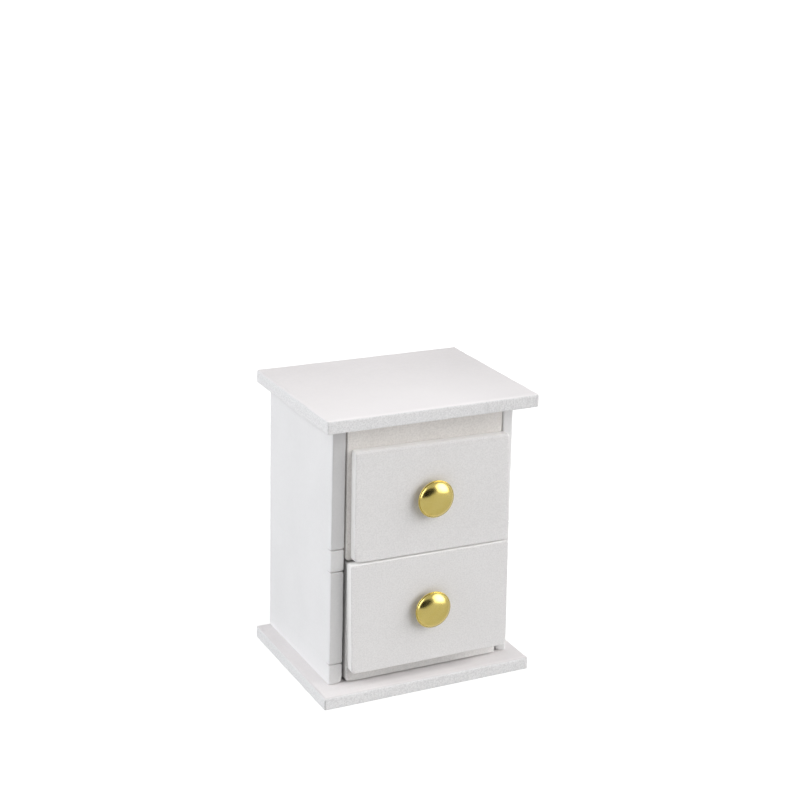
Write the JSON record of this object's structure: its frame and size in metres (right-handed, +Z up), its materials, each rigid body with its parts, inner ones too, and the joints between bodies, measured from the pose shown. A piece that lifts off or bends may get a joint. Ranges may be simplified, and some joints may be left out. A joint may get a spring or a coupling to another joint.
{
  "type": "miniature chest of drawers",
  "caption": "Small white painted dolls house bedside chest with overhanging top and base boards, sliding drawers with proud faces, and domed brass knobs.",
  "frame": {"origin": "centre of the underside of the base board, where the chest stands", "axes": "+Z up; -Y is the front, the way the drawers open; +X is to the right of a person looking at the drawers"},
  "size_m": [0.0462, 0.0367, 0.06],
  "materials": {
    "white_board_paint": "thin board under white sprayed paint, satin, sanded edges",
    "drawer_face_paint": "white sprayed paint with a fine orange-peel texture",
    "thin_sprayed_board": "thin warm grey-white sprayed coat, matt and slightly rough",
    "knob_brass": "polished",
    "pin_steel": "plain wire"
  },
  "bodies": {
    "carcass": {"base_board": "white_board_paint", "bottom_board": "white_board_paint", "divider_board": "white_board_paint", "left_side_lower": "white_board_paint", "left_side_upper": "white_board_paint", "right_side_lower": "white_board_paint", "right_side_upper": "white_board_paint", "back_panel": "white_board_paint", "top_board": "white_board_paint"},
    "upper_drawer": {"upper_inner_front": "thin_sprayed_board", "upper_face": "drawer_face_paint", "upper_floor": "thin_sprayed_board", "upper_left_wall": "thin_sprayed_board", "upper_right_wall": "thin_sprayed_board", "upper_rear_wall": "thin_sprayed_board", "upper_knob": "knob_brass", "upper_knob_pin": "pin_steel"},
    "lower_drawer": {"lower_inner_front": "thin_sprayed_board", "lower_face": "drawer_face_paint", "lower_floor": "thin_sprayed_board", "lower_left_wall": "thin_sprayed_board", "lower_right_wall": "thin_sprayed_board", "lower_rear_wall": "thin_sprayed_board", "lower_knob": "knob_brass", "lower_knob_pin": "pin_steel"}
  },
  "joints": [
    {"name": "upper_drawer_slide", "type": "slide", "parent": "carcass", "child": "upper_drawer", "axis": [0, -1, 0], "range_m": [0, 0.022]},
    {"name": "lower_drawer_slide", "type": "slide", "parent": "carcass", "child": "lower_drawer", "axis": [0, -1, 0], "range_m": [-0.00045, 0.02155]}
  ]
}
